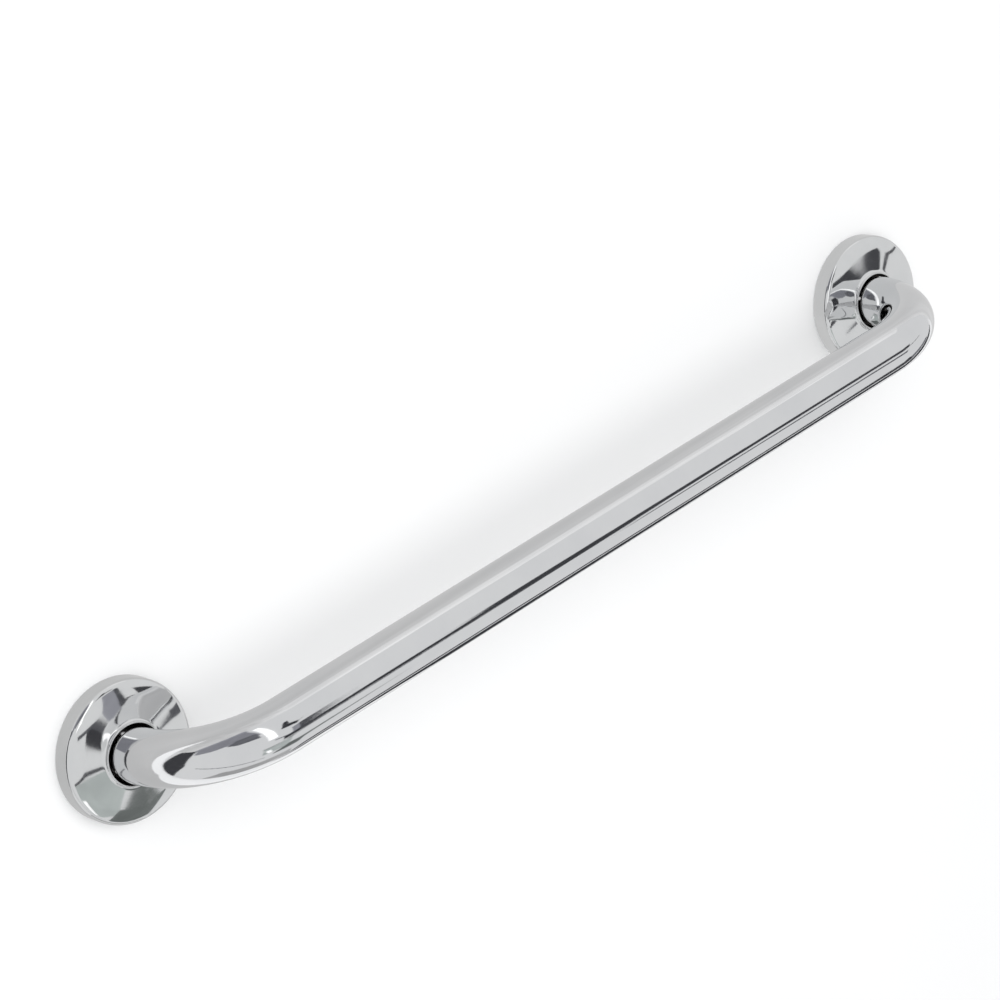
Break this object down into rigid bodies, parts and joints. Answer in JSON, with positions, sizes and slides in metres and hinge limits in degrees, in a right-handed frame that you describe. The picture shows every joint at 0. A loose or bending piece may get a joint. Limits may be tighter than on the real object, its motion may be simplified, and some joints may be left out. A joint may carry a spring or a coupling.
{
  "type": "grab rail",
  "caption": "Straight grab rail: a polished steel tube bent square at both ends onto round mounting plates hidden by sliding crowned covers.",
  "frame": {"origin": "midway between the two legs, on the mounting surface", "axes": "+X along the rail, +Z straight out of the mounting surface towards the bar, Y across the rail"},
  "size_m": [0.6922, 0.0826, 0.0935],
  "materials": {
    "polished_tube": "mirror-polished stainless steel",
    "polished_cover": "mirror-polished pressed stainless sheet",
    "plate_steel": "satin mill-finish stainless plate",
    "weld_metal": "as-welded bead with ripples and a faint heat tint"
  },
  "bodies": {
    "rail": {"grip_tube": "polished_tube", "left_mounting_plate": "plate_steel", "left_weld_bead": "weld_metal", "right_mounting_plate": "plate_steel", "right_weld_bead": "weld_metal"},
    "left_cover": {"left_cover": "polished_cover"},
    "right_cover": {"right_cover": "polished_cover"}
  },
  "joints": [
    {"name": "left_cover_slide", "type": "slide", "parent": "rail", "child": "left_cover", "axis": [0, 0, 1], "range_m": [0, 0.0115]},
    {"name": "right_cover_slide", "type": "slide", "parent": "rail", "child": "right_cover", "axis": [0, 0, 1], "range_m": [0, 0.0115]}
  ]
}
